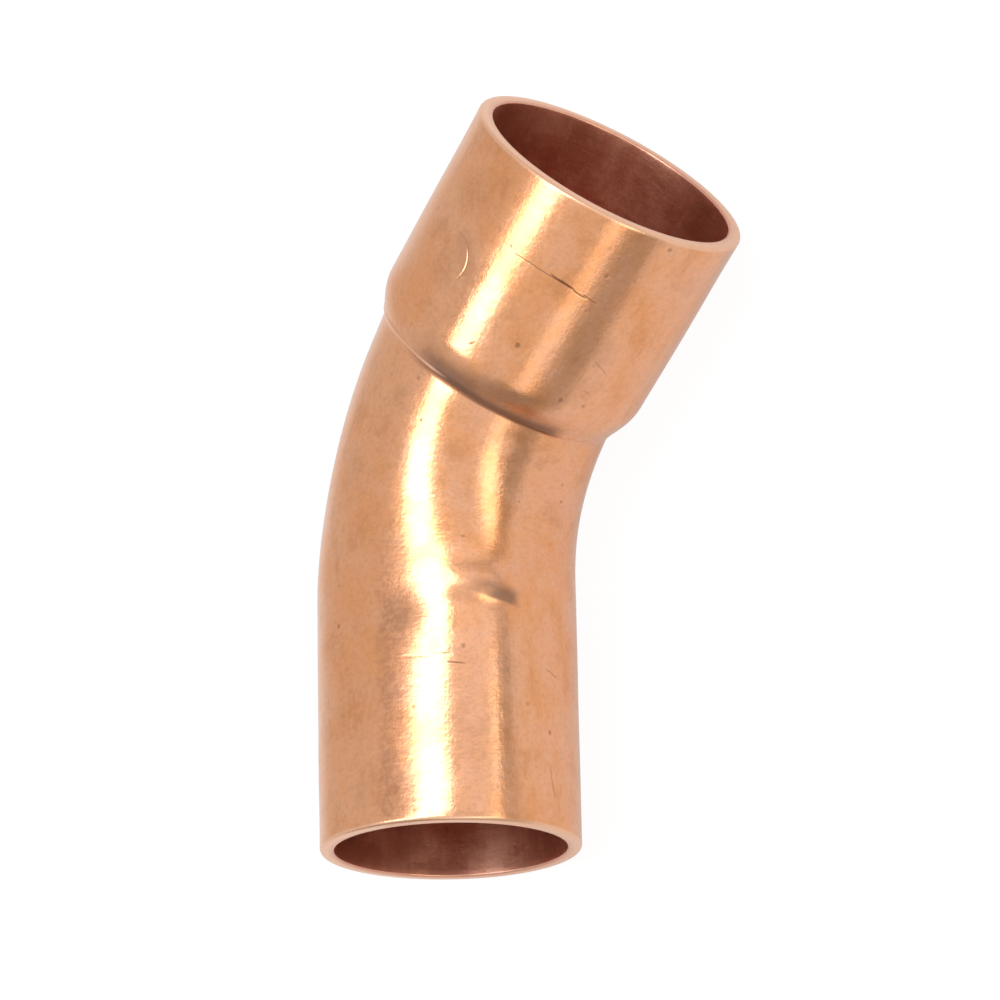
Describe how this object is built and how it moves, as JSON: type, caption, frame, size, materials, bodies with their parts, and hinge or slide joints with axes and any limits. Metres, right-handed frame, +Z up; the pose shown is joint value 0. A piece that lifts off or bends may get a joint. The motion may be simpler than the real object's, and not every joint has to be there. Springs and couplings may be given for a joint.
{
  "type": "forty-five degree copper elbow",
  "caption": "Forty-five degree street elbow of copper tube for soldered pipework: one plain end slips into a fitting and the other is a socket that takes the same tube.",
  "frame": {"origin": "centre of the plain end's opening, on the plain end's axis", "axes": "the elbow lies on its side with its bend in the XY plane; the plain end points along -Y, the socket's mouth points half way between +X and +Y, +Z is up, square to the bend"},
  "size_m": [0.0293, 0.0456, 0.0178],
  "materials": {
    "copper": "bright drawn copper, lightly brushed round the tube, with faint handling marks"
  },
  "bodies": {
    "root": {"elbow": "copper"}
  },
  "joints": []
}
